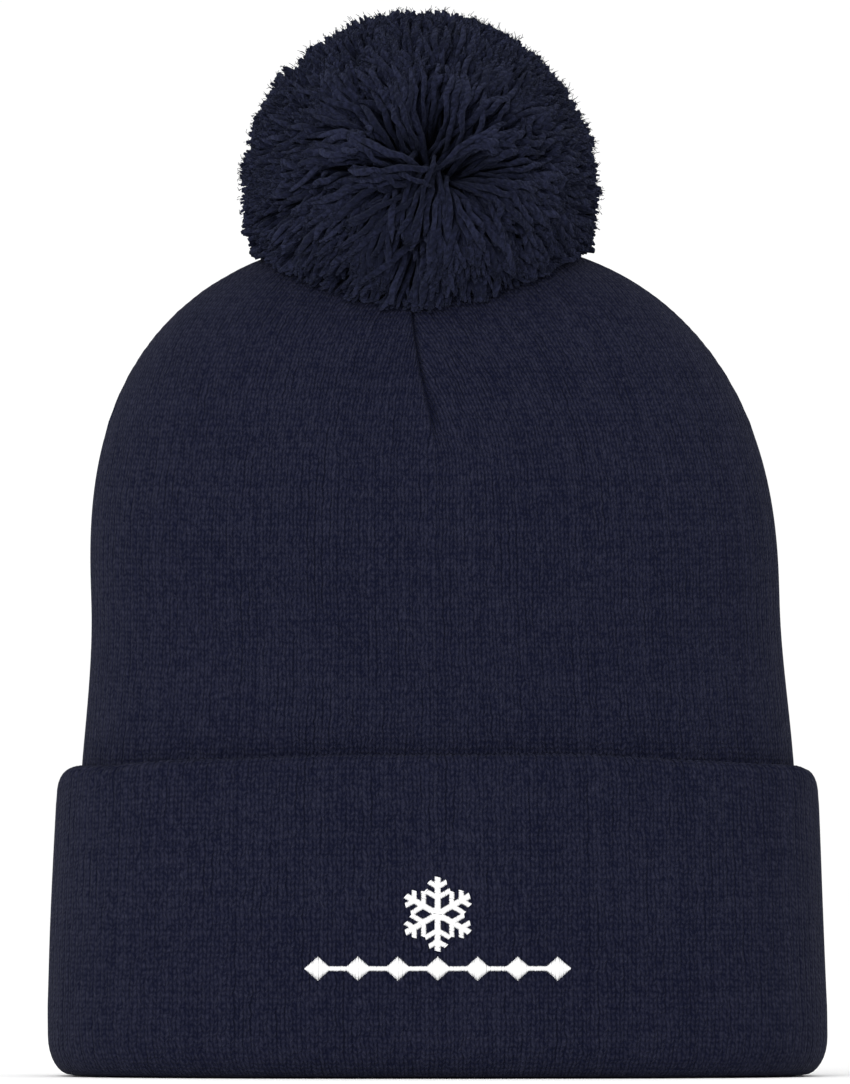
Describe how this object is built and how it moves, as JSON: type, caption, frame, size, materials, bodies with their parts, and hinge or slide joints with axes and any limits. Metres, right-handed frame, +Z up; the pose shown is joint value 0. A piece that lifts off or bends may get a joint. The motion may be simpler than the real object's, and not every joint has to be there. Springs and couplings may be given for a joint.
{
  "type": "pom pom beanie",
  "caption": "Doubled knit beanie with a turned-up embroidered cuff, a darted crown and a yarn pom-pom that tilts and turns on its tie.",
  "frame": {"origin": "centre of the head opening, on the plane that the cuff's rim rests on", "axes": "+Z up through the crown and the pom-pom, +X to the right as seen from the front, -Y towards the front with the embroidery"},
  "size_m": [0.2158, 0.1174, 0.296],
  "materials": {
    "navy_knit": "matte",
    "navy_lining_knit": "matte",
    "navy_pom_yarn": "matte",
    "navy_sewing_thread": "matte",
    "white_embroidery_thread": "satin",
    "white_backing": "matte",
    "white_label_tape": "satin"
  },
  "bodies": {
    "hat_body": {"outer_knit_layer": "navy_knit", "lining_knit_layer": "navy_lining_knit", "outer_dart_seam_front": "navy_sewing_thread", "outer_dart_seam_back": "navy_sewing_thread", "outer_dart_seam_left": "navy_sewing_thread", "outer_dart_seam_right": "navy_sewing_thread", "lining_dart_seam_front": "navy_sewing_thread", "lining_dart_seam_back": "navy_sewing_thread", "lining_dart_seam_left": "navy_sewing_thread", "lining_dart_seam_right": "navy_sewing_thread", "crown_gather_thread": "navy_sewing_thread", "anchor_knot": "navy_pom_yarn", "label_stitches": "navy_sewing_thread"},
    "cuff": {"cuff_face_layer": "navy_knit", "cuff_inner_layer": "navy_lining_knit", "embroidered_motif": "white_embroidery_thread", "embroidered_border": "white_embroidery_thread", "embroidery_backing": "white_backing"},
    "label": {"care_label": "white_label_tape"},
    "pom_tie": {"tie_wrap": "navy_pom_yarn"},
    "pom_core": {"pom_neck_cord": "navy_pom_yarn", "pom_core_binding": "navy_sewing_thread"},
    "pom": {"pom_pile": "navy_pom_yarn"}
  },
  "joints": [
    {"name": "cuff_turn", "type": "slide", "parent": "hat_body", "child": "cuff", "axis": [0, 0, 1], "range_m": [-0.078, 0]},
    {"name": "label_flap", "type": "hinge", "parent": "hat_body", "child": "label", "pos_m": [0, 0.04405, 0.07], "axis": [1, 0, 0], "range_deg": [-75, 0]},
    {"name": "pom_nod", "type": "hinge", "parent": "hat_body", "child": "pom_tie", "pos_m": [-0.0035, 0, 0.234], "axis": [1, 0, 0], "range_deg": [-7, 7], "stiffness_Nm_per_rad": 0.1},
    {"name": "pom_sway", "type": "hinge", "parent": "pom_tie", "child": "pom_core", "pos_m": [-0.0035, 0, 0.234], "axis": [0, 1, 0], "range_deg": [-7, 7], "stiffness_Nm_per_rad": 0.1},
    {"name": "pom_twist", "type": "hinge", "parent": "pom_core", "child": "pom", "pos_m": [-0.0035, 0, 0.234], "axis": [0, 0, 1], "range_deg": [-15, 15], "stiffness_Nm_per_rad": 0.02}
  ]
}
